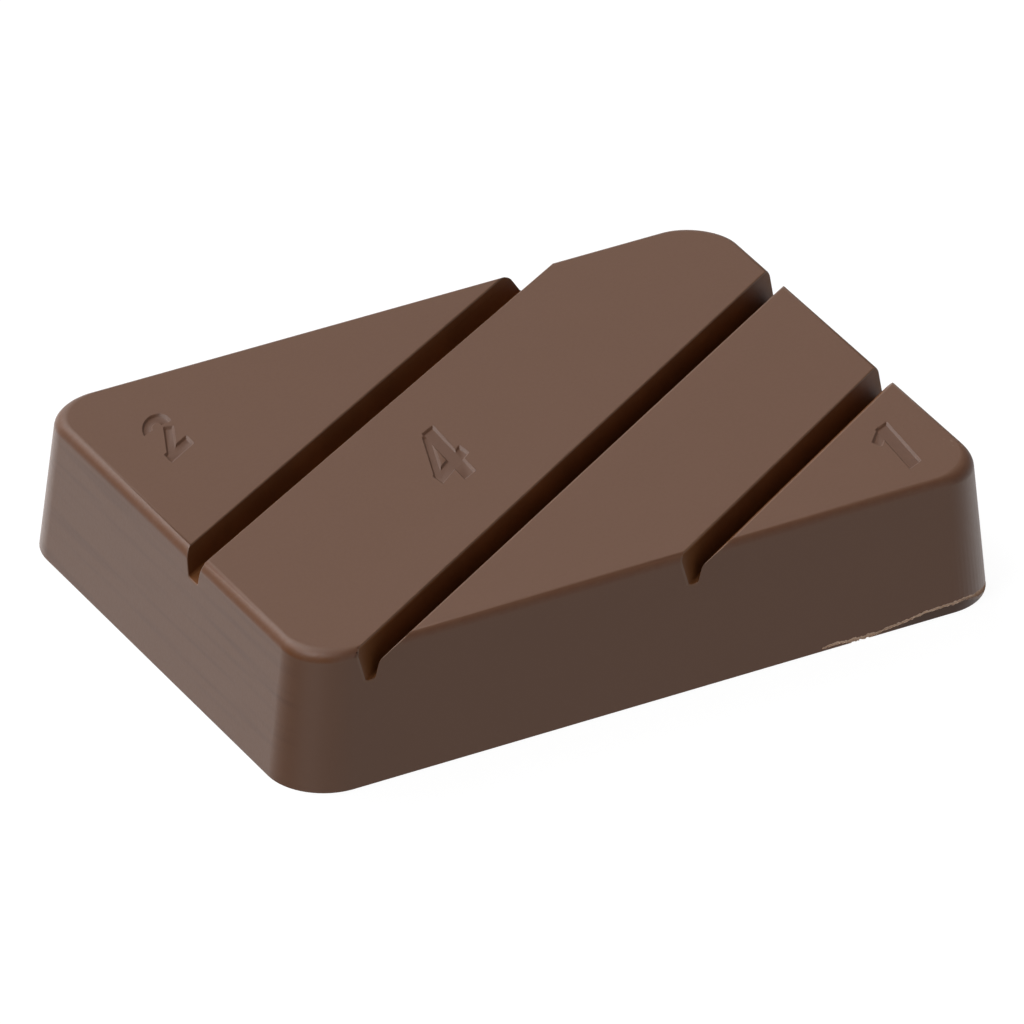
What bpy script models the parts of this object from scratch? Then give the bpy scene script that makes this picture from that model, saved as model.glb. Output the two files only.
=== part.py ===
"""Chocolate bar: a small moulded bar with three slanting break grooves and sunk portion numbers.

One solid piece. The long side runs along X, the short side along Y, and the bar lies on its
flat base at z = 0 with the origin in the middle of that base.
"""
import math

import bmesh
import bpy
from mathutils import Vector

MM = 0.001

# Block: outer size at the base, and how the moulded sides lean in towards the top
LENGTH = 39.0 * MM
WIDTH = 28.4 * MM
HEIGHT = 7.44 * MM
LEAN_LEFT = 0.70 * MM
LEAN_RIGHT = 0.88 * MM
LEAN_FRONT = 0.38 * MM
LEAN_BACK = 0.88 * MM
BASE_CORNER_RADIUS = 3.0 * MM
TOP_CORNER_RADIUS = 2.5 * MM
RIM_RADIUS = 0.60 * MM
LEFT_RIM_RADIUS = 0.80 * MM
CORNER_STEPS = 12
RIM_STEPS = 5
SIDE_STEPS = 14
FLAT_LIMIT = math.radians(0.05)

# Base edge: a fine chamfer all round, worn wider at the right front corner
BASE_CHAMFER = 0.06 * MM
WORN_CHAMFER = 0.30 * MM
WORN_PLACE = (17.8 * MM, -13.0 * MM)
WORN_REACH = 4.5 * MM

# Break grooves: angle from the long side in degrees, distance of the middle line from the bar's
# centre (towards the right front) and depth. The wall at the back left is the steeper one, so the
# bottom lies off the middle.
GROOVES = (
    ("groove_left", 30.3, -7.22 * MM, 1.30 * MM),
    ("groove_middle", 31.5, 3.97 * MM, 1.82 * MM),
    ("groove_right", 32.1, 13.07 * MM, 1.72 * MM),
)
GROOVE_WIDTH = 1.32 * MM
GROOVE_BOTTOM_OFFSET = -0.20 * MM
GROOVE_BOTTOM_RADIUS = 0.15 * MM
GROOVE_BOTTOM_STEPS = 4
GROOVE_REACH = 26.0 * MM
GROOVE_HEADROOM = 2.0 * MM
LIP_RADIUS = 0.09 * MM
LIP_STEPS = 2
ROUND_PROFILE = 0.5

# Numbers: sunk into the top, upright strokes along Y, rows parallel to the middle groove
NUMBER_DEPTH = 0.20 * MM
NUMBER_ROW_ANGLE = math.radians(31.5)
LEAST_MITRE = 0.4
HOOK_CENTRE = (1.00, 2.82)
HOOK_RADII = (0.72, 0.65)
HOOK_START = math.radians(172.0)
HOOK_SWEEP = math.radians(192.0)
HOOK_STEPS = 10

CHOCOLATE = (0.150, 0.0735, 0.043, 1.0)
CHOCOLATE_ROUGHNESS = 0.45
SHARP_ANGLE = math.radians(35.0)


def clear_scene():
    """Removes whatever the file starts with."""
    for obj in list(bpy.data.objects):
        bpy.data.objects.remove(obj, do_unlink=True)


def make_chocolate(name):
    material = bpy.data.materials.new(name)
    material.use_nodes = True
    shader = material.node_tree.nodes["Principled BSDF"]
    shader.inputs["Base Color"].default_value = CHOCOLATE
    shader.inputs["Roughness"].default_value = CHOCOLATE_ROUGHNESS
    shader.inputs["Metallic"].default_value = 0.0
    return material


def object_from(bm, name):
    """An object in the scene whose mesh is the given one, with its faces turned outwards."""
    mesh = bpy.data.meshes.new(name)
    bmesh.ops.recalc_face_normals(bm, faces=bm.faces)
    bm.to_mesh(mesh)
    bm.free()
    obj = bpy.data.objects.new(name, mesh)
    bpy.context.scene.collection.objects.link(obj)
    return obj


def extrude_face(bm, face, move):
    """Turns a flat face into a prism by moving a copy of it."""
    swept = bmesh.ops.extrude_face_region(bm, geom=[face])
    moved = [item for item in swept["geom"] if isinstance(item, bmesh.types.BMVert)]
    bmesh.ops.translate(bm, verts=moved, vec=move)


def outline_places():
    """Steps round the outline, anticlockwise from the right side.

    Each is the corner's side of the centre in X and Y, the angle round that corner, and how far
    along the straight side after it the place lies (0 to 1).
    """
    steps = []
    for corner, (side_x, side_y) in enumerate(((1, 1), (-1, 1), (-1, -1), (1, -1))):
        for step in range(CORNER_STEPS + 1):
            angle = math.radians(90.0 * (corner + step / CORNER_STEPS))
            steps.append((side_x, side_y, angle, 0.0))
        for step in range(1, SIDE_STEPS):
            angle = math.radians(90.0 * (corner + 1))
            steps.append((side_x, side_y, angle, step / SIDE_STEPS))
    return steps


def outline_point(place, share, inset, height):
    """A point of the rounded outline at a share of the bar's height, moved inwards by the inset."""
    side_x, side_y, angle, along = place
    radius = BASE_CORNER_RADIUS + (TOP_CORNER_RADIUS - BASE_CORNER_RADIUS) * share
    right = LENGTH / 2 - LEAN_RIGHT * share - radius
    left = LENGTH / 2 - LEAN_LEFT * share - radius
    rear = WIDTH / 2 - LEAN_BACK * share - radius
    front = WIDTH / 2 - LEAN_FRONT * share - radius
    centre = Vector((right if side_x > 0 else -left, rear if side_y > 0 else -front, height))
    outward = Vector((math.cos(angle), math.sin(angle), 0.0))
    forward = Vector((-math.sin(angle), math.cos(angle), 0.0))
    run = left + right if abs(forward.x) > abs(forward.y) else front + rear
    return centre + outward * (radius - inset) + forward * run * along


def worn_width(place):
    """Width of the base chamfer at a place on the outline."""
    point = outline_point(place, 0.0, 0.0, 0.0)
    distance = math.dist((point.x, point.y), WORN_PLACE)
    return BASE_CHAMFER + (WORN_CHAMFER - BASE_CHAMFER) * math.exp(-((distance / WORN_REACH) ** 2))


def side_lean(place):
    """How far the side leans in at a place on the outline, changing evenly round the corners."""
    side_x, side_y, angle, along = place
    lean_x = LEAN_RIGHT if side_x > 0 else LEAN_LEFT
    lean_y = LEAN_BACK if side_y > 0 else LEAN_FRONT
    return lean_x * math.cos(angle) ** 2 + lean_y * math.sin(angle) ** 2


def rim_radius(place):
    """Radius of the top rim at a place on the outline, larger along the left side."""
    facing_left = max(0.0, -math.cos(place[2])) ** 2
    return RIM_RADIUS + (LEFT_RIM_RADIUS - RIM_RADIUS) * facing_left


def base_loop(places):
    """The inner edge of the base chamfer, on the ground."""
    return [outline_point(place, 0.0, worn_width(place), 0.0) for place in places]


def chamfer_loop(places):
    """The outer edge of the base chamfer, on the leaning side."""
    points = []
    for place in places:
        height = worn_width(place)
        points.append(outline_point(place, height / HEIGHT, 0.0, height))
    return points


def rim_point(place, share):
    """A point of the rounded top rim, from the side wall (share 0) up to the top face (share 1)."""
    radius = rim_radius(place)
    lean_angle = math.atan2(side_lean(place), HEIGHT)
    rise = lean_angle + (math.pi / 2 - lean_angle) * share
    inset = radius / math.tan((math.pi / 2 + lean_angle) / 2) - radius * math.cos(rise)
    return outline_point(place, 1.0, inset, HEIGHT - radius + radius * math.sin(rise))


def rim_loops(places):
    """Loops of the rounded top rim, from the side wall up to the top face."""
    shares = [step / RIM_STEPS for step in range(RIM_STEPS + 1)]
    return [[rim_point(place, share) for place in places] for share in shares]


def make_block():
    """The plain bar before its grooves: loops of the outline, bridged and capped."""
    places = outline_places()
    bm = bmesh.new()
    rings = []
    for loop in [base_loop(places), chamfer_loop(places)] + rim_loops(places):
        rings.append([bm.verts.new(point) for point in loop])
    for lower, upper in zip(rings, rings[1:]):
        for index in range(len(places)):
            following = (index + 1) % len(places)
            bm.faces.new((lower[index], lower[following], upper[following], upper[index]))
    bm.faces.new(reversed(rings[0]))
    bm.faces.new(rings[-1])
    bm.normal_update()
    bmesh.ops.dissolve_limit(bm, angle_limit=FLAT_LIMIT, verts=bm.verts, edges=bm.edges)
    return object_from(bm, "chocolate_bar")


def groove_half(depth, side):
    """One side of a groove's section as (distance from its middle, depth), mouth to bottom.

    The side is 1 for the wall at the right front and -1 for the wall at the back left. The wall
    runs straight from the mouth to where it meets the round bottom.
    """
    half_width = GROOVE_WIDTH / 2
    centre_down = depth - GROOVE_BOTTOM_RADIUS
    run = half_width - side * GROOVE_BOTTOM_OFFSET
    reach = math.hypot(run, centre_down)
    wall_angle = math.atan2(run, centre_down) - math.asin(GROOVE_BOTTOM_RADIUS / reach)
    points = [(side * (half_width + GROOVE_HEADROOM * math.tan(wall_angle)), -GROOVE_HEADROOM)]
    for step in range(GROOVE_BOTTOM_STEPS + 1):
        turn = wall_angle + (math.pi / 2 - wall_angle) * step / GROOVE_BOTTOM_STEPS
        across = GROOVE_BOTTOM_OFFSET + side * GROOVE_BOTTOM_RADIUS * math.cos(turn)
        points.append((across, centre_down + GROOVE_BOTTOM_RADIUS * math.sin(turn)))
    return points


def groove_section(depth):
    """Closed section of a groove, from one edge of its mouth over the bottom to the other."""
    return groove_half(depth, 1) + groove_half(depth, -1)[-2::-1]


def make_groove_cutter(name, angle_degrees, offset, depth):
    """A long wedge with a rounded lower edge, laid across the bar at the groove's angle."""
    angle = math.radians(angle_degrees)
    along = Vector((math.cos(angle), math.sin(angle), 0.0))
    across = Vector((math.sin(angle), -math.cos(angle), 0.0))
    start = across * offset - along * GROOVE_REACH + Vector((0.0, 0.0, HEIGHT))
    bm = bmesh.new()
    ring = []
    for width, down in groove_section(depth):
        ring.append(bm.verts.new(start + across * width - Vector((0.0, 0.0, down))))
    extrude_face(bm, bm.faces.new(ring), along * GROOVE_REACH * 2)
    return object_from(bm, name)


def stroke_outline(points, width):
    """Closed outline of a pen stroke of even width along a bent line, with mitred bends."""
    sides = ([], [])
    for index, point in enumerate(points):
        before = points[max(index - 1, 0)]
        after = points[min(index + 1, len(points) - 1)]
        arriving = (point - before).normalized() if index > 0 else (after - point).normalized()
        leaving = (after - point).normalized() if index < len(points) - 1 else arriving
        bisector = (arriving + leaving).normalized()
        normal = Vector((-bisector.y, bisector.x))
        mitre = max(normal.dot(Vector((-arriving.y, arriving.x))), LEAST_MITRE)
        sides[0].append(point + normal * width / 2 / mitre)
        sides[1].append(point - normal * width / 2 / mitre)
    return sides[0] + sides[1][::-1]


def hook_points():
    """The bowed top of the two, from its open end round to where the slanting stroke begins."""
    points = []
    for step in range(HOOK_STEPS + 1):
        turn = HOOK_START - HOOK_SWEEP * step / HOOK_STEPS
        points.append((HOOK_CENTRE[0] + HOOK_RADII[0] * math.cos(turn),
                       HOOK_CENTRE[1] + HOOK_RADII[1] * math.sin(turn)))
    return points


# Each number: name, the place of its lower left corner, and its pen strokes as (width, points in
# millimetres from that corner: along the row, then along the bar's short side)
NUMBERS = (
    ("number_two", (-15.59 * MM, 5.31 * MM), (
        (0.66, hook_points() + [(0.30, 0.60)]),
        (0.76, [(-0.05, 0.55), (2.00, 0.55)]),
    )),
    ("number_four", (-5.27 * MM, -2.62 * MM), (
        (0.95, [(1.84, -0.80), (2.12, 3.68)]),
        (0.85, [(0.00, 0.50), (2.90, 0.87)]),
        (0.60, [(1.75, 3.40), (0.20, 0.55)]),
    )),
    ("number_one", (15.18 * MM, -12.04 * MM), (
        (0.98, [(0.31, -0.05), (0.76, 3.60)]),
        (0.72, [(0.70, 3.35), (-0.45, 2.86)]),
    )),
)


def make_stroke_cutter(name, outline, corner):
    """A stroke leaned to the rows of numbers and raised to cut from above the top face."""
    bm = bmesh.new()
    row = Vector((math.cos(NUMBER_ROW_ANGLE), math.sin(NUMBER_ROW_ANGLE)))
    floor = []
    for point in outline:
        place = Vector(corner) + (row * point.x + Vector((0.0, point.y))) * MM
        floor.append(bm.verts.new((place.x, place.y, HEIGHT - NUMBER_DEPTH)))
    extrude_face(bm, bm.faces.new(floor), Vector((0.0, 0.0, NUMBER_DEPTH * 2)))
    return object_from(bm, name)


def cut(block, cutter):
    """Cuts one piece out of the bar and keeps the result as the bar's mesh."""
    cutter.hide_render = True
    cutter.display_type = "WIRE"
    difference = block.modifiers.new("cut", "BOOLEAN")
    difference.operation = "DIFFERENCE"
    difference.solver = "EXACT"
    difference.material_mode = "TRANSFER"
    difference.object = cutter
    evaluated = block.evaluated_get(bpy.context.evaluated_depsgraph_get())
    result = bpy.data.meshes.new_from_object(evaluated)
    block.modifiers.clear()
    block.data = result
    bpy.data.objects.remove(cutter, do_unlink=True)


def soften_lips(block):
    """Rounds every edge where a groove meets the top or a side, as the mould leaves it.

    Groove walls carry the second material of the bar, everything else the first.
    """
    bm = bmesh.new()
    bm.from_mesh(block.data)
    lips = []
    for edge in bm.edges:
        kinds = {face.material_index for face in edge.link_faces}
        if len(kinds) == 2:
            lips.append(edge)
    bmesh.ops.bevel(bm, geom=lips, offset=LIP_RADIUS, offset_type="OFFSET", segments=LIP_STEPS,
                    profile=ROUND_PROFILE, affect="EDGES", clamp_overlap=False, material=0)
    bm.to_mesh(block.data)
    bm.free()


def main():
    clear_scene()
    chocolate = make_chocolate("chocolate")
    groove_mark = make_chocolate("groove_mark")
    block = make_block()
    block.data.materials.append(chocolate)
    for name, angle, offset, depth in GROOVES:
        cutter = make_groove_cutter(name, angle, offset, depth)
        cutter.data.materials.append(groove_mark)
        cut(block, cutter)
    soften_lips(block)
    block.data.materials.clear()
    block.data.materials.append(chocolate)
    bpy.data.materials.remove(groove_mark)
    for name, corner, strokes in NUMBERS:
        for width, points in strokes:
            outline = stroke_outline([Vector(point) for point in points], width)
            cut(block, make_stroke_cutter(name, outline, corner))
    block.data.shade_smooth()
    block.data.set_sharp_from_angle(angle=SHARP_ANGLE)


main()
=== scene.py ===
# %% [markdown]
# # A small moulded chocolate bar, dressed for its portrait
# The real object is one piece of chocolate, poured into a mould, cooled and knocked out. That gives
# it a flat top with crisp sunk details, sides that lean in so that it leaves the mould, softly
# rounded rims, and a flat back. We first load the engineering model, because it fixes the size and
# the place of everything that follows.

# %% Load the frame and measure it
import math
import random

import bmesh
import bpy
from mathutils import Matrix, Vector


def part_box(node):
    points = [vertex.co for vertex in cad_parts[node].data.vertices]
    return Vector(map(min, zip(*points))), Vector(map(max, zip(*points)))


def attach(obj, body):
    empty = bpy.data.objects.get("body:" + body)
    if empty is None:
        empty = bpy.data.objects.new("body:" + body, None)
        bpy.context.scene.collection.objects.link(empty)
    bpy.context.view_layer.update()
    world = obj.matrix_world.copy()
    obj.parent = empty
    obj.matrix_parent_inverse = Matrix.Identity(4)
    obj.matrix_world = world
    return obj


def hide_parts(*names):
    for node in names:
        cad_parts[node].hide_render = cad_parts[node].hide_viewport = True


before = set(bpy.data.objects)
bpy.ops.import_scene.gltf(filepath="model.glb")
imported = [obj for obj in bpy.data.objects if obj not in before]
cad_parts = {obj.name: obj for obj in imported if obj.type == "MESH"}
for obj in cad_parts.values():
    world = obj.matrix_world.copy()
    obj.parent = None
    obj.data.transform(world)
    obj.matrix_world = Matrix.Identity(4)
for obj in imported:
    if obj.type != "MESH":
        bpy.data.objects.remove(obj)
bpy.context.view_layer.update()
low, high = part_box("chocolate_bar")
MM = 0.001
print("solid bar, mm:", [round(value / MM, 2) for value in high - low])

# %% [markdown]
# ## Sizes of the bar
# A maker would read these from the mould drawing: the block at its foot, how far each side leans in
# on its way up, and how round the corners and rims are. The rim is roundest over the corners.
# The numbers are in metres, so a millimetre is 0.001. A hair is how far apart two places may lie
# and still count as one.

# %% Sizes of the block
LENGTH = 39.0 * MM
WIDTH = 28.4 * MM
HEIGHT = high.z
LEAN_LEFT = 0.70 * MM
LEAN_RIGHT = 0.88 * MM
LEAN_FRONT = 0.38 * MM
LEAN_BACK = 0.88 * MM
FOOT_CORNER = 3.0 * MM
TOP_CORNER = 2.5 * MM
CORNER_STEPS = 16
RIM_LEFT = 0.52 * MM
RIM_ROUND = 0.42 * MM
RIM_CORNER = 0.75 * MM
RIM_STEPS = 8
FOOT_ROUND = 0.06 * MM
FOOT_STEPS = 2
HAIR = 0.001 * MM
ORIGIN = Vector((0.0, 0.0, 0.0))
print("top face, mm:", round((LENGTH - LEAN_LEFT - LEAN_RIGHT) / MM, 2), "by",
      round((WIDTH - LEAN_FRONT - LEAN_BACK) / MM, 2))

# %% [markdown]
# ## A few small helpers
# Blender's operators act on whatever is selected. The loaded model leaves its own pieces selected,
# so every step starts from nothing selected, and then picks its object, its edges or its faces by
# place.


# %% Helpers that pick an object, or parts of its mesh
def pick(*objects):
    """Leaves edit mode and selects only these objects, the last one active."""
    if bpy.context.mode != "OBJECT":
        bpy.ops.object.mode_set(mode="OBJECT")
    bpy.ops.object.select_all(action="DESELECT")
    for obj in objects:
        obj.select_set(True)
        bpy.context.view_layer.objects.active = obj


def pick_parts(obj, kind, wanted):
    """Enters edit mode on an object and selects its vertices, edges or faces that pass a test."""
    pick(obj)
    bpy.ops.object.mode_set(mode="EDIT")
    bpy.ops.mesh.select_mode(type=kind)
    bpy.ops.mesh.select_all(action="DESELECT")
    form = bmesh.from_edit_mesh(obj.data)
    parts = {"VERT": form.verts, "EDGE": form.edges, "FACE": form.faces}[kind]
    chosen = [part for part in parts if wanted(part)]
    for part in chosen:
        part.select_set(True)
    bmesh.update_edit_mesh(obj.data)
    return len(chosen)


def level(part, height):
    """True if every corner of an edge or face lies at one height."""
    return all(abs(vert.co.z - height) < HAIR for vert in part.verts)


def apply_modifier(obj, name):
    pick(obj)
    bpy.ops.object.modifier_apply(modifier=name)


# %% [markdown]
# ## The block
# The bar could start as a cube, but its four sides lean in by different amounts and its corners are
# rounder at the foot than at the top. So we draw the two outlines, foot and top, as planes with
# rounded corners, and let Bridge Edge Loops skin the walls between them.


# %% Foot and top outline
def rounded_plate(name, left, right, front, back, height, corner):
    """A flat plate that lies in from the foot's sides by four amounts, with rounded corners."""
    pick()
    bpy.ops.mesh.primitive_plane_add(size=1.0)
    plate = bpy.context.object
    plate.name = name
    pick_parts(plate, "VERT", lambda vert: True)
    bpy.ops.transform.resize(value=(LENGTH - left - right, WIDTH - front - back, 1.0),
                             center_override=ORIGIN)
    bpy.ops.transform.translate(value=((left - right) / 2, (front - back) / 2, height))
    bpy.ops.mesh.bevel(offset=corner, affect="VERTICES", segments=CORNER_STEPS, profile=0.5)
    pick(plate)
    return plate


foot = rounded_plate("foot_outline", 0.0, 0.0, 0.0, 0.0, 0.0, FOOT_CORNER)
crown = rounded_plate("top_outline", LEAN_LEFT, LEAN_RIGHT, LEAN_FRONT, LEAN_BACK, HEIGHT, TOP_CORNER)
print("points on each outline:", len(foot.data.vertices), len(crown.data.vertices))

# %% Walls between the outlines, and the two faces closed again
pick(crown, foot)
bpy.ops.object.join()
bar = foot
bar.name = "moulded_bar"
pick_parts(bar, "FACE", lambda face: True)
bpy.ops.mesh.delete(type="ONLY_FACE")
pick_parts(bar, "EDGE", lambda edge: True)
bpy.ops.mesh.bridge_edge_loops()
for height in (0.0, HEIGHT):
    pick_parts(bar, "EDGE", lambda edge: level(edge, height))
    bpy.ops.mesh.edge_face_add()
pick_parts(bar, "FACE", lambda face: True)
bpy.ops.mesh.normals_make_consistent(inside=False)
pick(bar)
print("block faces:", len(bar.data.polygons))

# %% [markdown]
# ## The rounded rim
# The Bevel modifier rounds the top edge. The mould is roundest over its corners and a little rounder
# along the left side, so each rim edge gets a bevel weight worked out from the way it faces. A
# weight of one gives the full width, and the weights in between make the change gradual.

# %% Weights and bevel of the rim
LEAN_ANGLE = math.atan2(LEAN_LEFT, HEIGHT)
RIM_REACH = RIM_CORNER / math.tan((math.pi / 2 + LEAN_ANGLE) / 2)
weights = bar.data.attributes.new("bevel_weight_edge", "FLOAT", "EDGE")
corners = bar.data.vertices
for edge in bar.data.edges:
    start, end = (corners[index].co for index in edge.vertices)
    if abs(start.z - HEIGHT) > HAIR or abs(end.z - HEIGHT) > HAIR:
        continue
    run = end - start
    outward = Vector((run.y, -run.x, 0.0)).normalized()
    if outward.dot((start + end) / 2) < 0.0:
        outward.negate()
    facing_left = max(0.0, -outward.x) ** 2
    facing_corner = abs(2 * outward.x * outward.y)
    radius = RIM_ROUND + (RIM_LEFT - RIM_ROUND) * facing_left
    weights.data[edge.index].value = (radius + (RIM_CORNER - radius) * facing_corner) / RIM_CORNER
rim = bar.modifiers.new("rim", "BEVEL")
rim.limit_method = "WEIGHT"
rim.width = RIM_REACH
rim.segments = RIM_STEPS
rim.use_clamp_overlap = False
apply_modifier(bar, "rim")
bar.data.attributes.remove(bar.data.attributes["bevel_weight_edge"])
print("faces with the rounded rim:", len(bar.data.polygons))

# %% [markdown]
# ## The foot edge
# Poured chocolate is scraped level at the back of the mould, which leaves a nearly sharp edge. A
# very narrow bevel keeps it from looking like cut paper.

# %% Foot edge
pick_parts(bar, "EDGE", lambda edge: level(edge, 0.0))
bpy.ops.mesh.bevel(offset=FOOT_ROUND, segments=FOOT_STEPS, profile=0.5, affect="EDGES")
pick(bar)

# %% [markdown]
# ## Marks for the cuts
# The torn foot, the numbers and the grooves are all cut out of the block with cutters, and each
# kind of cutter has a material of its own. The Boolean hands that material on to the faces it
# cuts, so every cut has its finish at once, and afterwards the grooves' edges can be found by it.
# The small bevel where the grooves run out comes after all the cuts, because the Boolean works
# best on a clean mesh.

# %% Finishes as marks, and the cut
chocolate = bpy.data.materials.new("moulded_chocolate")
# The groove finish is a darker, redder chocolate: painted shade deep in the grooves.
groove_shade_finish = bpy.data.materials.new("groove_painted_shade")
# The number finish is a slightly darker chocolate: painted shade in the pressed recesses.
number_painted_shade = bpy.data.materials.new("number_painted_shade")
# The torn finish is partly paler torn chocolate and partly painted light.
torn_chocolate_and_painted_light = bpy.data.materials.new("torn_chocolate_and_painted_light")
# The lip finish is a paler chocolate: a painted highlight along the grooves' edges.
lip_painted_highlight = bpy.data.materials.new("lip_painted_highlight")
for finish in (chocolate, groove_shade_finish, number_painted_shade, torn_chocolate_and_painted_light, lip_painted_highlight):
    bar.data.materials.append(finish)


def cut_away(cutter):
    """Takes a cutter's shape out of the bar with an exact Boolean, then removes the cutter."""
    boolean = bar.modifiers.new("cut", "BOOLEAN")
    boolean.operation = "DIFFERENCE"
    boolean.solver = "EXACT"
    boolean.material_mode = "TRANSFER"
    boolean.object = cutter
    bpy.context.view_layer.update()
    apply_modifier(bar, "cut")
    bpy.data.objects.remove(cutter, do_unlink=True)


# %% [markdown]
# ## The torn foot
# At the right front the thin skin at the foot has torn: an uneven pale line runs along the front,
# climbs a little and comes down again over the corner. Damage looks wrong when it is regular, so
# the cutter is a row of small balls of uneven size, melted into one lumpy string by the Remesh
# modifier and roughened by Displace. It leaves a fine furrow whose lower side catches the light.
# Its pale colour is partly that of torn chocolate and partly painted light, since the furrow lies
# in shade.

# %% The path of the tear along the foot
# The heights, the wobble and the crumbled stretches are in millimetres, counted along the foot.
TEAR_START = 9.2 * MM
TEAR_HEIGHTS = ((0.0, 0.20), (0.6, 0.26), (1.8, 0.11), (2.8, 0.15), (4.4, 0.34), (5.7, 0.52),
                (6.7, 0.54), (8.0, 0.60), (9.2, 0.34), (10.0, 0.20), (10.8, 0.22), (11.6, 0.10))
TEAR_WOBBLE = 0.02
CRUMBLED = ((1.5, 2.7), (8.6, 10.9))
TEAR_STEP = 0.09 * MM
BALL_LONG = TEAR_STEP * 1.5
BALL_DEEP = 1.3
FINE_RADIUS = (0.045 * MM, 0.080 * MM)
CRUMBLED_RADIUS = (0.07 * MM, 0.17 * MM)
MELT_SIZE = 0.022 * MM
LUMP_SIZE = 0.15 * MM
LUMP_DEPTH = 0.05 * MM
SIDE_LEAN = LEAN_FRONT / HEIGHT
chance = random.Random(4)


def foot_place(run):
    """Point and outward direction on the foot outline, a run along the front from the tear's start."""
    straight = LENGTH / 2 - FOOT_CORNER - TEAR_START
    if run < straight:
        return Vector((TEAR_START + run, -WIDTH / 2, 0.0)), Vector((0.0, -1.0, 0.0))
    turn = (run - straight) / FOOT_CORNER - math.pi / 2
    outward = Vector((math.cos(turn), math.sin(turn), 0.0))
    centre = Vector((LENGTH / 2 - FOOT_CORNER, FOOT_CORNER - WIDTH / 2, 0.0))
    return centre + outward * FOOT_CORNER, outward


def tear_height(run):
    """Height of the torn line at a run along the foot, read off between the given places."""
    for (start, low_end), (end, high_end) in zip(TEAR_HEIGHTS, TEAR_HEIGHTS[1:]):
        if run <= end * MM:
            share = (run / MM - start) / (end - start)
            return (low_end + (high_end - low_end) * share) * MM
    return 0.0


# %% The lumpy cutter, and the cut
balls = []
run = 0.0
while run < TEAR_HEIGHTS[-1][0] * MM:
    crumbled = any(start * MM < run < end * MM for start, end in CRUMBLED)
    size = chance.uniform(*(CRUMBLED_RADIUS if crumbled else FINE_RADIUS))
    point, outward = foot_place(run)
    height = tear_height(run) + chance.uniform(-TEAR_WOBBLE, TEAR_WOBBLE) * MM
    pick()
    bpy.ops.mesh.primitive_ico_sphere_add(subdivisions=2, radius=1.0)
    ball = bpy.context.object
    turn = Matrix.Rotation(math.atan2(outward.y, outward.x), 4, "Z")
    ball.data.transform(turn @ Matrix.Diagonal((size * BALL_DEEP, BALL_LONG, size, 1.0)))
    ball_place = point + Vector((0.0, 0.0, height)) - outward * SIDE_LEAN * height
    ball.data.transform(Matrix.Translation(ball_place))
    balls.append(ball)
    run += TEAR_STEP
pick(*balls)
bpy.ops.object.join()
tear = bpy.context.object
tear.name = "tear"
tear.data.materials.clear()
tear.data.materials.append(torn_chocolate_and_painted_light)
melt = tear.modifiers.new("melt", "REMESH")
melt.mode = "VOXEL"
melt.voxel_size = MELT_SIZE
apply_modifier(tear, "melt")
lumps = bpy.data.textures.new("lumps", "CLOUDS")
lumps.noise_scale = LUMP_SIZE
rough_up = tear.modifiers.new("rough_up", "DISPLACE")
rough_up.texture = lumps
rough_up.texture_coords = "LOCAL"
rough_up.strength = LUMP_DEPTH
apply_modifier(tear, "rough_up")
print("cutter faces:", len(tear.data.polygons))
cut_away(tear)

# %% [markdown]
# ## The portion numbers
# A number says how many portions its piece is. The numbers are shallow and soft, as if pressed in
# with a flat pen: the floor curves up into the wall, and the wall curves out into the skin. So every
# stroke is built up level by level, by extruding its floor upwards and widening each new level. The
# hook of the 2 is a narrow section, built the same way and spun round a centre. The numbers are
# drawn upright first, then leaned over, because their rows run along the slanting grooves.

# %% Sizes of the numbers
# Of each level: its height above the skin, and how much wider the stroke is there on each side.
NUMBER_LEVELS = (
    (-0.110 * MM, -0.110 * MM),
    (-0.090 * MM, -0.050 * MM),
    (-0.035 * MM, 0.000 * MM),
    (-0.010 * MM, 0.035 * MM),
    (0.005 * MM, 0.085 * MM),
    (0.200 * MM, 0.300 * MM),
)
NUMBER_ROW = math.radians(31.5)
STROKE_CORNER = 0.07 * MM
STROKE_CORNER_STEPS = 3
HOOK_STEPS = 14
ROW_LEAN = Matrix(((math.cos(NUMBER_ROW), 0.0, 0.0, 0.0),
                   (math.sin(NUMBER_ROW), 1.0, 0.0, 0.0),
                   (0.0, 0.0, 1.0, 0.0),
                   (0.0, 0.0, 0.0, 1.0)))


# %% Straight strokes and the hook
def place_stroke(stroke, corner):
    """Leans an upright stroke to the slanting rows and sets it on its piece of the bar."""
    pick(stroke)
    stroke.data.transform(Matrix.Translation((corner[0], corner[1], HEIGHT)) @ ROW_LEAN)
    pick_parts(stroke, "FACE", lambda face: True)
    bpy.ops.mesh.normals_make_consistent(inside=False)
    pick(stroke)


def build_up(length, width):
    """Extrudes what is selected upwards through the levels, each as wide as its entry says."""
    for (low, inner), (high, outer) in zip(NUMBER_LEVELS, NUMBER_LEVELS[1:]):
        bpy.ops.mesh.extrude_region_move(TRANSFORM_OT_translate={"value": (0.0, 0.0, high - low)})
        grow_x = (length + 2 * outer) / (length + 2 * inner)
        grow_y = (width + 2 * outer) / (width + 2 * inner)
        bpy.ops.transform.resize(value=(grow_x, grow_y, 1.0), center_override=Vector((0.0, 0.0, high)))


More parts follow.
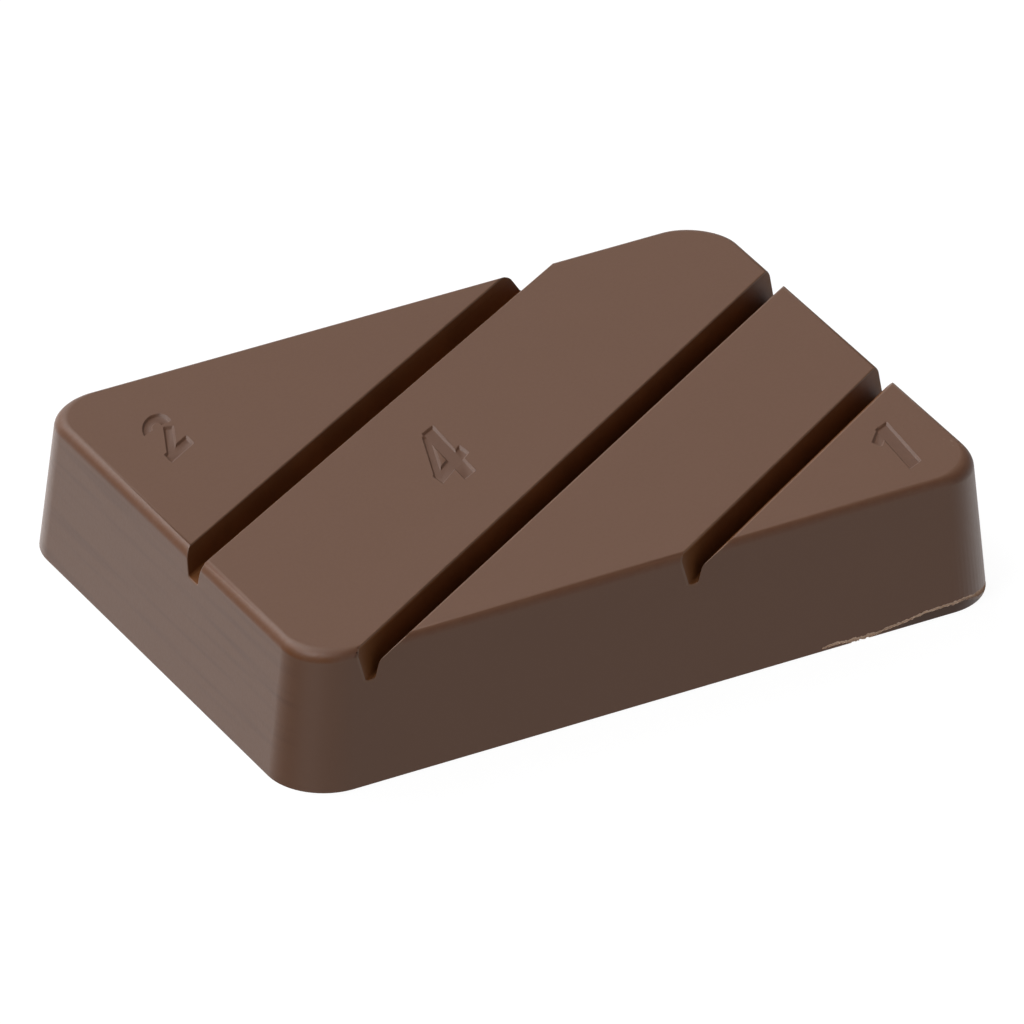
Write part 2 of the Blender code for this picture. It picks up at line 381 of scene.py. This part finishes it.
def straight_stroke(name, start, end, width, corner):
    """A straight pen stroke, wider at the surface than at its floor."""
    start, end = Vector(start) * MM, Vector(end) * MM
    run = end - start
    floor_height, floor_inset = NUMBER_LEVELS[0]
    pick()
    bpy.ops.mesh.primitive_plane_add(size=1.0)
    stroke = bpy.context.object
    stroke.name = name
    stroke.data.materials.append(number_painted_shade)
    pick_parts(stroke, "VERT", lambda vert: True)
    bpy.ops.transform.resize(value=(run.length + 2 * floor_inset, width + 2 * floor_inset, 1.0),
                             center_override=ORIGIN)
    bpy.ops.transform.translate(value=(0.0, 0.0, floor_height))
    bpy.ops.mesh.bevel(offset=STROKE_CORNER, affect="VERTICES", segments=STROKE_CORNER_STEPS,
                       profile=0.5)
    pick_parts(stroke, "FACE", lambda face: True)
    build_up(run.length, width)
    pick(stroke)
    middle = (start + end) / 2
    turn = Matrix.Rotation(math.atan2(run.y, run.x), 4, "Z")
    stroke.data.transform(Matrix.Translation((middle.x, middle.y, 0.0)) @ turn)
    place_stroke(stroke, corner)
    return stroke


def hook_stroke(name, centre, radii, first, sweep, width, corner):
    """The bowed top of the 2: an upright section spun round a centre, then made oval."""
    centre = Vector((centre[0], centre[1], 0.0)) * MM
    radius, rise = radii[0] * MM, radii[1] * MM
    (low, inner), (high, outer) = NUMBER_LEVELS[:2]
    pick()
    bpy.ops.mesh.primitive_plane_add(size=1.0)
    stroke = bpy.context.object
    stroke.name = name
    stroke.data.materials.append(number_painted_shade)
    upright = Matrix.Rotation(math.pi / 2, 4, "X")
    stroke.data.transform(Matrix.Diagonal((width + 2 * outer, 1.0, high - low, 1.0)) @ upright)
    stroke.data.transform(Matrix.Translation((radius, 0.0, (low + high) / 2)))
    pick_parts(stroke, "EDGE", lambda edge: level(edge, low))
    bpy.ops.transform.resize(value=((width + 2 * inner) / (width + 2 * outer), 1.0, 1.0),
                             center_override=Vector((radius, 0.0, low)))
    for (low, inner), (high, outer) in zip(NUMBER_LEVELS[1:], NUMBER_LEVELS[2:]):
        pick_parts(stroke, "EDGE", lambda edge: level(edge, low))
        bpy.ops.mesh.extrude_region_move(TRANSFORM_OT_translate={"value": (0.0, 0.0, high - low)})
        bpy.ops.transform.resize(value=((width + 2 * outer) / (width + 2 * inner), 1.0, 1.0),
                                 center_override=Vector((radius, 0.0, high)))
    pick(stroke)
    stroke.data.transform(Matrix.Rotation(math.radians(first), 4, "Z"))
    pick_parts(stroke, "FACE", lambda face: True)
    bpy.ops.mesh.spin(steps=HOOK_STEPS, angle=math.radians(-sweep), center=ORIGIN, axis=(0.0, 0.0, 1.0))
    pick(stroke)
    print(name, "rises above its centre, mm:", round(max(v.co.y for v in stroke.data.vertices) / MM, 2))
    stroke.data.transform(Matrix.Diagonal((1.0, rise / radius, 1.0, 1.0)))
    stroke.data.transform(Matrix.Translation(centre))
    place_stroke(stroke, corner)
    return stroke


# %% Join the strokes of a number, and cut it
def cut_number(strokes):
    """Unites the strokes and cuts the number out of the bar."""
    number = strokes[0]
    for stroke in strokes[1:]:
        union = number.modifiers.new("union", "BOOLEAN")
        union.operation = "UNION"
        union.solver = "EXACT"
        union.object = stroke
        bpy.context.view_layer.update()
        apply_modifier(number, "union")
        bpy.data.objects.remove(stroke, do_unlink=True)
    cut_away(number)


FOUR_CORNER = (-5.27 * MM, -2.62 * MM)
ONE_CORNER = (15.18 * MM, -12.04 * MM)
TWO_CORNER = (-15.59 * MM, 5.31 * MM)
cut_number([
    straight_stroke("four_stem", (1.84, -0.80), (2.12, 3.68), 0.95 * MM, FOUR_CORNER),
    straight_stroke("four_bar", (0.0, 0.50), (2.9, 0.87), 0.85 * MM, FOUR_CORNER),
    straight_stroke("four_slant", (1.75, 3.40), (0.20, 0.55), 0.60 * MM, FOUR_CORNER),
])
cut_number([
    straight_stroke("one_stem", (0.31, -0.05), (0.76, 3.60), 0.98 * MM, ONE_CORNER),
    straight_stroke("one_flag", (0.70, 3.35), (-0.45, 2.86), 0.72 * MM, ONE_CORNER),
])
cut_number([
    straight_stroke("two_slant", (1.60, 2.30), (0.30, 0.50), 0.66 * MM, TWO_CORNER),
    straight_stroke("two_foot", (-0.05, 0.55), (2.00, 0.55), 0.76 * MM, TWO_CORNER),
    hook_stroke("two_hook", (1.0, 2.82), (0.72, 0.65), -20.0, 192.0, 0.66 * MM, TWO_CORNER),
])

# %% [markdown]
# ## The break grooves
# Three grooves slant across the bar, so that it breaks into pieces of different size. Each is cut
# with a wedge made from a cube. Its far wall is steep and straight. Its near wall is steep below
# and opens out above the waist, so Bisect adds a line of points there that can be moved. The
# Boolean gives the cut faces the wedge's own material, a darker chocolate of painted shade, and
# that mark lets us find the lips afterwards.

# %% Sizes of the grooves
# Of each groove: its name, its angle in degrees, how far it lies from the middle, its depth, and how
# far its near wall is moved from the waist down, where the left groove is wider than the others.
GROOVES = (
    ("groove_left", 30.3, -7.22 * MM, 1.35 * MM, -0.48 * MM),
    ("groove_middle", 31.5, 3.97 * MM, 1.82 * MM, 0.0),
    ("groove_right", 32.1, 13.07 * MM, 1.72 * MM, 0.0),
)
MOUTH_FAR = 0.66 * MM
MOUTH_NEAR = -0.76 * MM
WAIST_NEAR = -0.03 * MM
WAIST_SHARE = 0.50
FLOOR_FAR = 0.34 * MM
FLOOR_NEAR = 0.07 * MM
FLOOR_ROUND = 0.11 * MM
FLOOR_STEPS = 4
WAIST_ROUND = 0.15 * MM
WAIST_STEPS = 3
GROOVE_REACH = 26.0 * MM
GROOVE_HEADROOM = 2.0 * MM
LIP_LEVELS = ((-0.080 * MM, 0.0), (-0.025 * MM, 0.025 * MM), (0.0, 0.080 * MM))
LIP_FLARE = 0.50 * MM
EXIT_ROUND = 0.07 * MM
EXIT_STEPS = 3


# %% A wedge for one groove
def slide_points(obj, height, side, target):
    """Moves the points at one height, on the near (-1) or far (1) side, to a distance across."""
    row = [vert.co.y for vert in obj.data.vertices if abs(vert.co.z - height) < HAIR]
    edge_y = min(row) if side < 0 else max(row)
    pick_parts(obj, "VERT", lambda vert: abs(vert.co.z - height) < HAIR and abs(vert.co.y - edge_y) < HAIR)
    bpy.ops.transform.translate(value=(0.0, target - edge_y, 0.0))
    pick(obj)


def groove_wedge(name, angle, offset, depth, near_shift):
    """A long wedge across the bar. Its own x runs along the groove, its y towards the back left."""
    waist = depth * WAIST_SHARE
    pick()
    bpy.ops.mesh.primitive_cube_add(size=1.0)
    wedge = bpy.context.object
    wedge.name = name
    wedge.data.materials.append(groove_shade_finish)
    pick_parts(wedge, "VERT", lambda vert: True)
    bpy.ops.transform.translate(value=(0.0, 0.0, -0.5))
    bpy.ops.transform.resize(value=(2 * GROOVE_REACH, MOUTH_FAR, depth), center_override=ORIGIN)
    pick(wedge)
    slide_points(wedge, 0.0, 1, MOUTH_FAR)
    slide_points(wedge, 0.0, -1, MOUTH_NEAR)
    slide_points(wedge, -depth, 1, FLOOR_FAR)
    slide_points(wedge, -depth, -1, FLOOR_NEAR + near_shift)
    pick_parts(wedge, "FACE", lambda face: True)
    bpy.ops.mesh.bisect(plane_co=(0.0, 0.0, -waist), plane_no=(0.0, 0.0, 1.0))
    pick(wedge)
    slide_points(wedge, -waist, -1, WAIST_NEAR + near_shift)
    pick_parts(wedge, "FACE", lambda face: level(face, 0.0))
    bpy.ops.mesh.extrude_region_move(TRANSFORM_OT_translate={"value": (0.0, 0.0, GROOVE_HEADROOM)})
    pick(wedge)
    for height, _ in LIP_LEVELS[:-1]:
        pick_parts(wedge, "FACE", lambda face: True)
        bpy.ops.mesh.bisect(plane_co=(0.0, 0.0, height), plane_no=(0.0, 0.0, 1.0), threshold=HAIR / 10)
        pick(wedge)
    for height, flare in LIP_LEVELS[1:] + ((GROOVE_HEADROOM, LIP_FLARE),):
        slide_points(wedge, height, 1, MOUTH_FAR + flare)
        slide_points(wedge, height, -1, MOUTH_NEAR - flare)
    pick_parts(wedge, "EDGE", lambda edge: level(edge, -depth) and edge.calc_length() > GROOVE_REACH)
    bpy.ops.mesh.bevel(offset=FLOOR_ROUND, segments=FLOOR_STEPS, profile=0.5, affect="EDGES")
    pick_parts(wedge, "EDGE", lambda edge: level(edge, -waist) and edge.calc_length() > GROOVE_REACH
               and edge.verts[0].co.y < 0.0)
    bpy.ops.mesh.bevel(offset=WAIST_ROUND, segments=WAIST_STEPS, profile=0.5, affect="EDGES")
    pick(wedge)
    turn = math.radians(angle)
    wedge.rotation_euler.z = turn
    wedge.location = (math.sin(turn) * offset, -math.cos(turn) * offset, HEIGHT)
    return wedge


for name, angle, offset, depth, near_shift in GROOVES:
    cut_away(groove_wedge(name, angle, offset, depth, near_shift))
    print(name, "cut, faces now:", len(bar.data.polygons))

# %% [markdown]
# ## The lips of the grooves
# Chocolate shrinks a little as it sets, so no edge is perfectly sharp. Along the top the wedges
# already open out into a narrow lip, which gets a paler colour of its own: a painted highlight.
# Where a groove runs out through a side, its edges have marked faces on one side and unmarked
# ones on the other, and a small bevel rounds them and takes the same painted highlight.


# %% Painted highlight on the lips, and the round ends
def finish_index(finish):
    return list(bar.data.materials).index(finish)


corners = bar.data.vertices
lip_bottom = HEIGHT + LIP_LEVELS[0][0] - HAIR
lips = 0
for polygon in bar.data.polygons:
    if polygon.material_index == finish_index(groove_shade_finish) and all(
            corners[index].co.z > lip_bottom for index in polygon.vertices):
        polygon.material_index = finish_index(lip_painted_highlight)
        lips += 1
exits = pick_parts(bar, "EDGE", lambda edge: max(vert.co.z for vert in edge.verts) < lip_bottom and sum(
    face.material_index == finish_index(groove_shade_finish) for face in edge.link_faces) == 1)
bpy.ops.mesh.bevel(offset=EXIT_ROUND, offset_type="OFFSET", segments=EXIT_STEPS, profile=0.5,
                   affect="EDGES", clamp_overlap=False, material=finish_index(lip_painted_highlight))
pick(bar)
print("lip faces:", lips, "exit edges:", exits, "faces now:", len(bar.data.polygons))

# %% [markdown]
# ## Clean shading
# The large flat faces must stay flat to the light while the rounds look round. Smooth shading with
# sharp creases kept, plus the Weighted Normal modifier, gives the big faces the last word.

# %% Shade
CREASE = math.radians(40.0)
BIG_FACE_WEIGHT = 60
pick(bar)
bpy.ops.object.shade_smooth_by_angle(angle=CREASE)
even = bar.modifiers.new("even_light", "WEIGHTED_NORMAL")
even.keep_sharp = True
even.weight = BIG_FACE_WEIGHT
apply_modifier(bar, "even_light")
print("triangles:", sum(len(polygon.vertices) - 2 for polygon in bar.data.polygons))

# %% [markdown]
# ## The chocolate
# Moulded milk chocolate is a warm brown with a satin skin. Close up it is not even: the colour
# drifts a little, the skin has a very fine grain from the mould, and the flow of the pour leaves
# faint streaks on the sides. The grain and the drift are used by more than one finish, so they
# live in a node group with named sockets.


# %% A shared group for the skin of the chocolate
def add_node(tree, kind, **values):
    """A node with its plain settings, and with input values given by name after an underscore."""
    node = tree.nodes.new(kind)
    for key, value in values.items():
        if key.startswith("in_"):
            node.inputs[key[3:].replace("_", " ")].default_value = value
        else:
            setattr(node, key, value)
    return node


skin = bpy.data.node_groups.new("chocolate_skin", "ShaderNodeTree")
skin.interface.new_socket("Vector", in_out="INPUT", socket_type="NodeSocketVector")
skin.interface.new_socket("Grain Size", in_out="INPUT", socket_type="NodeSocketFloat")
skin.interface.new_socket("Drift", in_out="OUTPUT", socket_type="NodeSocketFloat")
skin.interface.new_socket("Grain", in_out="OUTPUT", socket_type="NodeSocketFloat")
skin_in = add_node(skin, "NodeGroupInput")
skin_out = add_node(skin, "NodeGroupOutput")
drift = add_node(skin, "ShaderNodeTexNoise", in_Scale=260.0, in_Detail=4.0, in_Roughness=0.6)
grain = add_node(skin, "ShaderNodeTexNoise", in_Detail=3.0, in_Roughness=0.55)
skin.links.new(skin_in.outputs["Vector"], drift.inputs["Vector"])
skin.links.new(skin_in.outputs["Vector"], grain.inputs["Vector"])
skin.links.new(skin_in.outputs["Grain Size"], grain.inputs["Scale"])
skin.links.new(drift.outputs["Fac"], skin_out.inputs["Drift"])
skin.links.new(grain.outputs["Fac"], skin_out.inputs["Grain"])


# %% Build one finish
def make_finish(material, light, dark, roughness, grain_size, bump_depth, gloss):
    """Chocolate with a drifting colour, uneven gloss and a fine grain. Returns what others join on to."""
    material.use_nodes = True
    tree = material.node_tree
    shader = tree.nodes["Principled BSDF"]
    shader.inputs["IOR"].default_value = 1.47
    shader.inputs["Specular IOR Level"].default_value = gloss
    place = add_node(tree, "ShaderNodeTexCoord")
    surface = add_node(tree, "ShaderNodeGroup", node_tree=skin)
    surface.inputs["Grain Size"].default_value = grain_size
    tree.links.new(place.outputs["Object"], surface.inputs["Vector"])
    colour = add_node(tree, "ShaderNodeMix", data_type="RGBA")
    colour.inputs["A"].default_value = dark
    colour.inputs["B"].default_value = light
    tree.links.new(surface.outputs["Drift"], colour.inputs["Factor"])
    tree.links.new(colour.outputs["Result"], shader.inputs["Base Color"])
    rough = add_node(tree, "ShaderNodeMapRange")
    rough.inputs["To Min"].default_value = roughness[0]
    rough.inputs["To Max"].default_value = roughness[1]
    tree.links.new(surface.outputs["Grain"], rough.inputs["Value"])
    tree.links.new(rough.outputs["Result"], shader.inputs["Roughness"])
    bump = add_node(tree, "ShaderNodeBump", in_Strength=0.25, in_Distance=bump_depth)
    tree.links.new(surface.outputs["Grain"], bump.inputs["Height"])
    tree.links.new(bump.outputs["Normal"], shader.inputs["Normal"])
    return place, colour.outputs["Result"]


# %% The moulded skin
place, plain_colour = make_finish(
    chocolate, light=(0.157, 0.0765, 0.0450, 1.0), dark=(0.149, 0.0722, 0.0416, 1.0),
    roughness=(0.40, 0.52), grain_size=5200.0, bump_depth=0.02 * MM, gloss=0.5)

# %% [markdown]
# ### Where the skin is not plain
# The rim has a warmer, darker line of painted shade, where the rounding faces half upwards. The
# left side shows faint streaks of the pour, the right end has some tiny pale pores, and below the
# torn line the foot has a dark band of painted shade. Each of these is a mask: the rim is found by
# the way its surface faces, the streaks are a noise stretched along the side, the pores are the
# middles of a Voronoi pattern, kept only where a coarse noise allows them, and the dark band ends
# at a height that changes along the front.


# %% Masks
def mask_range(tree, value, start, end, low=0.0, high=1.0):
    """Turns a value that runs from start to end into a mask that runs from low to high."""
    spread = add_node(tree, "ShaderNodeMapRange", in_From_Min=start, in_From_Max=end,
                      in_To_Min=low, in_To_Max=high)
    tree.links.new(value, spread.inputs["Value"])
    return spread.outputs["Result"]


def multiply(tree, first, second):
    product = add_node(tree, "ShaderNodeMath", operation="MULTIPLY")
    tree.links.new(first, product.inputs[0])
    tree.links.new(second, product.inputs[1])
    return product.outputs["Value"]


def tint(tree, colour, mask, new_colour):
    """Lays a colour over the one below wherever the mask is white."""
    layer = add_node(tree, "ShaderNodeMix", data_type="RGBA")
    tree.links.new(mask, layer.inputs["Factor"])
    tree.links.new(colour, layer.inputs["A"])
    layer.inputs["B"].default_value = new_colour
    return layer.outputs["Result"]


tree = chocolate.node_tree
facing = add_node(tree, "ShaderNodeNewGeometry")
split = add_node(tree, "ShaderNodeSeparateXYZ")
where = add_node(tree, "ShaderNodeSeparateXYZ")
tree.links.new(facing.outputs["Normal"], split.inputs["Vector"])
tree.links.new(place.outputs["Object"], where.inputs["Vector"])

# %% Painted shade along the rim
# The mask of painted shade is white near the top, where the surface faces half upwards, and a
# noise breaks it up.
RIM_STARTS = (0.16, 0.34)
RIM_ENDS = (0.97, 0.80)
RIM_ZONE = (6.4 * MM, 6.8 * MM)
FACES_LEFT = (-0.25, -0.45)
RIM_SHADE_COLOUR = (0.140, 0.0600, 0.0330, 1.0)
LEFT_RIM_SHADE_COLOUR = (0.140, 0.0500, 0.0160, 1.0)
rim_shade_breakup = add_node(tree, "ShaderNodeTexNoise", in_Scale=2600.0, in_Detail=3.0, in_Roughness=0.7)
tree.links.new(place.outputs["Object"], rim_shade_breakup.inputs["Vector"])
rim_shade_mask = multiply(tree, mask_range(tree, split.outputs["Z"], *RIM_STARTS),
                    mask_range(tree, split.outputs["Z"], *RIM_ENDS))
rim_shade_mask = multiply(tree, rim_shade_mask, mask_range(tree, where.outputs["Z"], *RIM_ZONE))
rim_shade_mask = multiply(tree, rim_shade_mask, mask_range(tree, rim_shade_breakup.outputs["Fac"], 0.30, 0.62, 0.45, 1.0))
left_rim_shade = multiply(tree, rim_shade_mask, mask_range(tree, split.outputs["X"], *FACES_LEFT))
# Painted shade: the rim is tinted darker and warmer, and more orange where it faces left.
colour = tint(tree, plain_colour, rim_shade_mask, RIM_SHADE_COLOUR)
colour = tint(tree, colour, left_rim_shade, LEFT_RIM_SHADE_COLOUR)

# %% Streaks on the left side
# The Mapping node squeezes the noise across the streaks, so that it looks stretched along them.
STREAK_SLOPE = math.radians(-9.0)
STREAK_SQUEEZE = (0.0, 90.0, 1900.0)
STREAK_COLOUR = (0.100, 0.0470, 0.0300, 1.0)
lie_along = add_node(tree, "ShaderNodeMapping", vector_type="POINT",
                     in_Rotation=(STREAK_SLOPE, 0.0, 0.0), in_Scale=STREAK_SQUEEZE)
streaks = add_node(tree, "ShaderNodeTexNoise", in_Scale=1.0, in_Detail=2.0, in_Roughness=0.5)
tree.links.new(place.outputs["Object"], lie_along.inputs["Vector"])
tree.links.new(lie_along.outputs["Vector"], streaks.inputs["Vector"])
streak_mask = multiply(tree, mask_range(tree, streaks.outputs["Fac"], 0.50, 0.72),
                       mask_range(tree, split.outputs["X"], -0.80, -0.95, 0.0, 0.42))
colour = tint(tree, colour, streak_mask, STREAK_COLOUR)

# %% Pale pores at the right end
NEAR_FRONT = (-9.0 * MM, -10.5 * MM)
RIGHT_END = (17.6 * MM, 19.0 * MM)
PORE_STRENGTH = 0.55
PORE_COLOUR = (0.420, 0.300, 0.220, 1.0)
pores = add_node(tree, "ShaderNodeTexVoronoi", in_Scale=3200.0)
allow = add_node(tree, "ShaderNodeTexNoise", in_Scale=700.0, in_Detail=2.0)
tree.links.new(place.outputs["Object"], pores.inputs["Vector"])
tree.links.new(place.outputs["Object"], allow.inputs["Vector"])
pore_mask = multiply(tree, mask_range(tree, pores.outputs["Distance"], 0.26, 0.12),
                     mask_range(tree, allow.outputs["Fac"], 0.56, 0.64))
near_front = mask_range(tree, where.outputs["Y"], *NEAR_FRONT)
at_right = multiply(tree, near_front, mask_range(tree, where.outputs["X"], *RIGHT_END, 0.0, PORE_STRENGTH))
colour = tint(tree, colour, multiply(tree, pore_mask, at_right), PORE_COLOUR)

# %% Painted shade: dark band under the torn line
# Its upper end climbs with the torn line from the left, and comes down again over the corner. It
# paints the shade of the down-facing foot below the tear.
BAND_RISE = (12.0 * MM, 15.2 * MM)
BAND_RISE_HEIGHTS = (0.12 * MM, 0.53 * MM)
BAND_FALL = (16.8 * MM, 18.3 * MM)
BAND_FALL_HEIGHTS = (0.60 * MM, 0.02 * MM)
BAND_FADE_IN = (12.0 * MM, 14.0 * MM)
SHADE_BAND_COLOUR = (0.085, 0.042, 0.026, 1.0)
shade_band_top = add_node(tree, "ShaderNodeMath", operation="MINIMUM")
tree.links.new(mask_range(tree, where.outputs["X"], *BAND_RISE, *BAND_RISE_HEIGHTS),
               shade_band_top.inputs[0])
tree.links.new(mask_range(tree, where.outputs["X"], *BAND_FALL, *BAND_FALL_HEIGHTS),
               shade_band_top.inputs[1])
under_line = add_node(tree, "ShaderNodeMath", operation="LESS_THAN")
tree.links.new(where.outputs["Z"], under_line.inputs[0])
tree.links.new(shade_band_top.outputs["Value"], under_line.inputs[1])
shade_band = multiply(tree, under_line.outputs["Value"], mask_range(tree, where.outputs["X"], *BAND_FADE_IN))
shade_band = multiply(tree, shade_band, near_front)
# Painted shade: the foot below the torn line is tinted dark.
colour = tint(tree, colour, shade_band, SHADE_BAND_COLOUR)
tree.links.new(colour, tree.nodes["Principled BSDF"].inputs["Base Color"])

# %% Inside the grooves: painted shade
# Painted shade: a darker, redder chocolate stands in for the shade and the reddish bounce light in the
# grooves.
make_finish(groove_shade_finish, light=(0.215, 0.082, 0.026, 1.0), dark=(0.110, 0.038, 0.011, 1.0),
            roughness=(0.50, 0.62), grain_size=3800.0, bump_depth=0.03 * MM, gloss=0.25)

# %% The pressed numbers, darkened as painted shade
# Painted shade: the numbers are a little darker than the plain skin.
make_finish(number_painted_shade, light=(0.140, 0.0670, 0.0400, 1.0), dark=(0.130, 0.0620, 0.0365, 1.0),
            roughness=(0.42, 0.52), grain_size=5200.0, bump_depth=0.02 * MM, gloss=0.5)

# %% The torn line, partly painted light, and the painted highlight on the lips of the grooves
# The torn line's pale colour is partly real torn chocolate and partly painted light, lifted because the
# furrow lies in shade.
make_finish(torn_chocolate_and_painted_light, light=(0.930, 0.740, 0.600, 1.0), dark=(0.450, 0.290, 0.190, 1.0),
            roughness=(0.75, 0.95), grain_size=6500.0, bump_depth=0.04 * MM, gloss=0.3)
# Painted highlight: the lips are a paler chocolate than the skin.
make_finish(lip_painted_highlight, light=(0.200, 0.105, 0.062, 1.0), dark=(0.140, 0.066, 0.037, 1.0),
            roughness=(0.42, 0.55), grain_size=5200.0, bump_depth=0.02 * MM, gloss=0.5)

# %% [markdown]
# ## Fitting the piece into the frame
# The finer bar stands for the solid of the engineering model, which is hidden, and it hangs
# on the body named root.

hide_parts("chocolate_bar")
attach(bar, "root")

# %% [markdown]
# ## Floor and light
# The bar lies on a plain white table in a soft studio. The table is white to the camera only, and
# the light comes from a dome made of a few soft panels: a small strong one high up on the left,
# two broad ones high up at the back, and weak ones all round near the floor, which stand for the
# light that a white table throws back.

# %% Floor
pick()
bpy.ops.mesh.primitive_plane_add(size=1.0)
floor = bpy.context.object
floor.name = "floor"
FLOOR_SIZE = 4.0
FLOOR_DROP = 0.02 * MM
floor.data.transform(Matrix.Translation((0.0, 0.0, -FLOOR_DROP)) @ Matrix.Scale(FLOOR_SIZE, 4))
white = bpy.data.materials.new("white_table")
white.use_nodes = True
white_tree = white.node_tree
white_shader = white_tree.nodes["Principled BSDF"]
white_shader.inputs["Base Color"].default_value = (0.10, 0.10, 0.10, 1.0)
white_shader.inputs["Roughness"].default_value = 0.9
white_shader.inputs["Emission Color"].default_value = (1.0, 1.0, 1.0, 1.0)
white_shader.inputs["Emission Strength"].default_value = 0.94
floor.data.materials.append(white)
floor.visible_glossy = False
floor.visible_diffuse = False
floor.visible_shadow = False

# %% Studio dome
# Of each panel: the direction it lies in, its strength, and how narrow it is.
PANELS = (
    ((-0.50, -0.08, 0.86), 16.8, 80.0),
    ((-0.30, 0.62, 0.72), 3.4, 12.0),
    ((-0.15, 0.66, 0.74), 1.65, 14.0),
    ((-0.82, -0.50, -0.27), 1.15, 12.0),
    ((0.43, 0.75, 0.50), 0.04, 4.0),
    ((0.00, 0.87, -0.50), 2.08, 4.0),
    ((0.00, -1.00, 0.00), 0.50, 4.0),
    ((0.95, 0.10, -0.50), 1.30, 6.0),
    ((0.45, -0.70, -0.50), 0.28, 2.0),
)
world = bpy.data.worlds.new("studio")
bpy.context.scene.world = world
world.use_nodes = True
dome = world.node_tree
dome.nodes.clear()
direction = add_node(dome, "ShaderNodeTexCoord")
total = None
for toward, strength, focus in PANELS:
    nearness = add_node(dome, "ShaderNodeVectorMath", operation="DOT_PRODUCT")
    nearness.inputs[1].default_value = Vector(toward).normalized()
    dome.links.new(direction.outputs["Generated"], nearness.inputs[0])
    above = add_node(dome, "ShaderNodeMath", operation="MAXIMUM")
    above.inputs[1].default_value = 0.0
    dome.links.new(nearness.outputs["Value"], above.inputs[0])
    spread = add_node(dome, "ShaderNodeMath", operation="POWER")
    spread.inputs[1].default_value = focus
    dome.links.new(above.outputs["Value"], spread.inputs[0])
    panel = add_node(dome, "ShaderNodeMath", operation="MULTIPLY")
    panel.inputs[1].default_value = strength
    dome.links.new(spread.outputs["Value"], panel.inputs[0])
    if total is None:
        total = panel
    else:
        together = add_node(dome, "ShaderNodeMath", operation="ADD")
        dome.links.new(total.outputs["Value"], together.inputs[0])
        dome.links.new(panel.outputs["Value"], together.inputs[1])
        total = together
studio = add_node(dome, "ShaderNodeBackground", in_Color=(1.0, 1.0, 1.0, 1.0))
dome.links.new(total.outputs["Value"], studio.inputs["Strength"])
backdrop = add_node(dome, "ShaderNodeBackground", in_Color=(1.0, 1.0, 1.0, 1.0), in_Strength=1.0)
ray = add_node(dome, "ShaderNodeLightPath")
seen = add_node(dome, "ShaderNodeMixShader")
dome.links.new(ray.outputs["Is Camera Ray"], seen.inputs["Fac"])
dome.links.new(studio.outputs["Background"], seen.inputs[1])
dome.links.new(backdrop.outputs["Background"], seen.inputs[2])
sky = add_node(dome, "ShaderNodeOutputWorld")
dome.links.new(seen.outputs["Shader"], sky.inputs["Surface"])
bpy.context.scene.view_settings.view_transform = "Standard"

# %% [markdown]
# ## Camera
# The photograph was taken from the front left and above, with a long lens, so that the far end
# looks hardly smaller than the near one. The camera is set by its angles and distance from the
# middle of the bar, and then sunk a little, so that the middle of the bar stands a little above
# the middle of the picture.

# %% Camera
AZIMUTH = math.radians(-29.463)
ELEVATION = math.radians(31.257)
ROLL = math.radians(0.317)
DISTANCE = 770.98 * MM
SINK = 0.657 * MM
AIM_HEIGHT = 7.445 * MM / 2
SENSOR_WIDTH = 36.0
LENS = 562.5
back = Vector((math.sin(AZIMUTH) * math.cos(ELEVATION), -math.cos(AZIMUTH) * math.cos(ELEVATION),
               math.sin(ELEVATION)))
level_right = (-back).cross(Vector((0.0, 0.0, 1.0))).normalized()
level_up = back.cross(level_right)
right = level_right * math.cos(ROLL) + level_up * math.sin(ROLL)
up = level_up * math.cos(ROLL) - level_right * math.sin(ROLL)
camera_data = bpy.data.cameras.new("camera")
camera_data.sensor_width = SENSOR_WIDTH
camera_data.lens = LENS
camera_data.clip_start = 0.05
camera_data.clip_end = 10.0
camera = bpy.data.objects.new("camera", camera_data)
bpy.context.scene.collection.objects.link(camera)
camera_place = back * DISTANCE - up * SINK + Vector((0.0, 0.0, AIM_HEIGHT))
camera.matrix_world = Matrix((
    (right.x, up.x, back.x, camera_place.x),
    (right.y, up.y, back.y, camera_place.y),
    (right.z, up.z, back.z, camera_place.z),
    (0.0, 0.0, 0.0, 1.0),
))
bpy.context.scene.camera = camera
print("camera stands at, mm:", [round(value / MM, 1) for value in camera_place])
